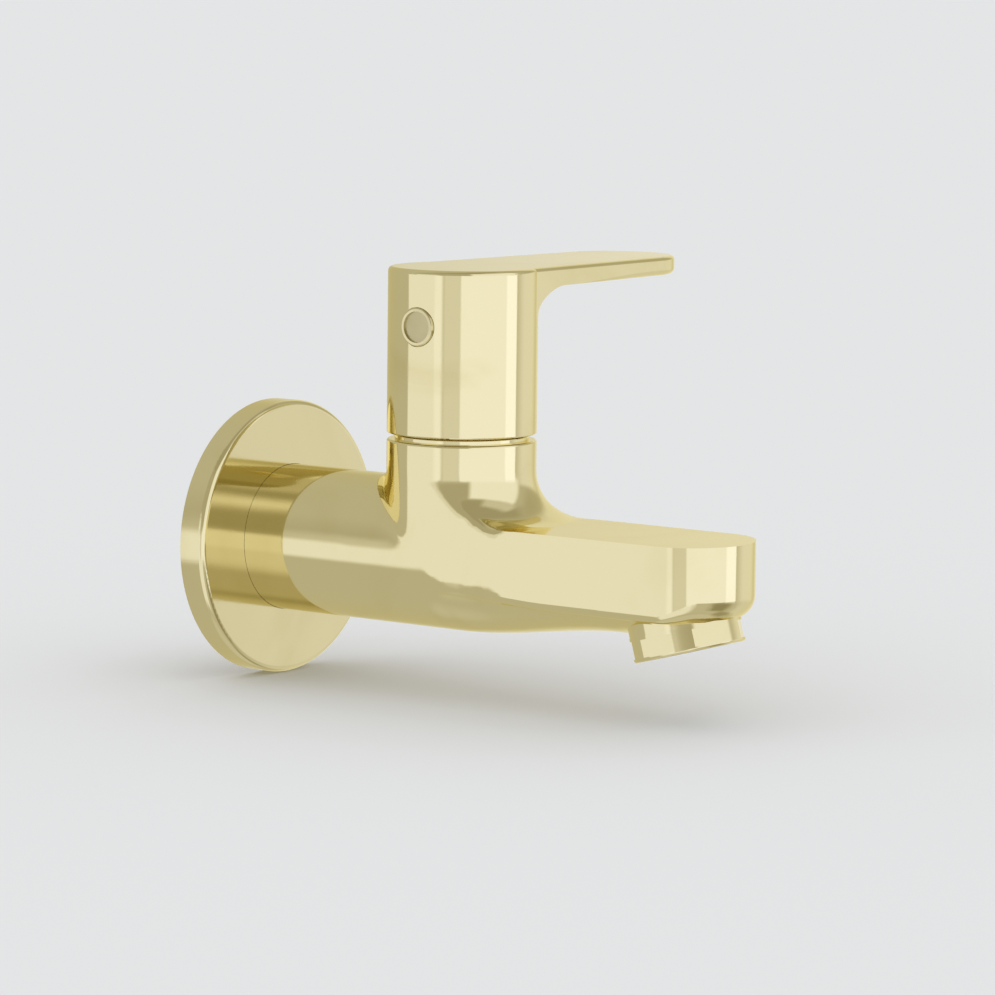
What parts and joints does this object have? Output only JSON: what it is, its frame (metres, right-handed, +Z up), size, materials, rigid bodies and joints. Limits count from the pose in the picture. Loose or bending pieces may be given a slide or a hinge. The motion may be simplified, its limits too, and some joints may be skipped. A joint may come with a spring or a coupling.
{
  "type": "bib tap",
  "caption": "Wall-mounted bib tap with a flat lever turned open on an upright neck, a level spout, a tilted aerator and a round wall flange.",
  "frame": {"origin": "where the axis of the threaded inlet meets the finished wall", "axes": "+Z up, the spout points along -Y out of the wall, the inlet thread goes into the wall along +Y, and +X is to the right of a person who faces the wall"},
  "size_m": [0.099, 0.1405, 0.0917],
  "materials": {
    "body_metal": "polished pale champagne-gold finish on brass",
    "flange_metal": "polished pale champagne-gold finish, thin spun metal",
    "handle_metal": "polished pale champagne-gold finish on a cast handle",
    "button_metal": "polished pale champagne-gold finish with a brushed face",
    "aerator_metal": "polished pale champagne-gold finish",
    "headwork_brass": "turned bare brass",
    "spindle_brass": "turned bare brass",
    "disc_ceramic": "lapped white ceramic",
    "rubber_seal": "black rubber",
    "glide_plastic": "slippery off-white plastic",
    "insert_plastic": "moulded off-white plastic",
    "aerator_plastic": "moulded light grey plastic",
    "clip_steel": "spring steel",
    "screw_steel": "stainless steel"
  },
  "bodies": {
    "tap": {"tap_body": "body_metal", "wall_flange": "flange_metal", "flange_seal_ring": "rubber_seal", "glide_ring": "body_metal", "headwork_body": "headwork_brass", "headwork_seal_ring": "rubber_seal", "seat_seal": "rubber_seal", "fixed_disc": "disc_ceramic", "thrust_washer": "glide_plastic", "aerator_housing": "aerator_metal", "aerator_seal": "rubber_seal", "aerator_grid": "aerator_plastic", "aerator_core": "aerator_plastic", "aerator_jets": "aerator_plastic", "aerator_filter": "aerator_plastic"},
    "lever": {"moving_disc": "disc_ceramic", "spindle": "spindle_brass", "spindle_seal_lower": "rubber_seal", "spindle_seal_upper": "rubber_seal", "stop_washer": "spindle_brass", "spindle_clip": "clip_steel", "handle": "handle_metal", "handle_insert": "insert_plastic", "grub_screw": "screw_steel", "index_button": "button_metal"}
  },
  "joints": [
    {"name": "handle_turn", "type": "hinge", "parent": "tap", "child": "lever", "pos_m": [0, -0.053, 0.03], "axis": [0, 0, 1], "range_deg": [-90, 0]}
  ]
}
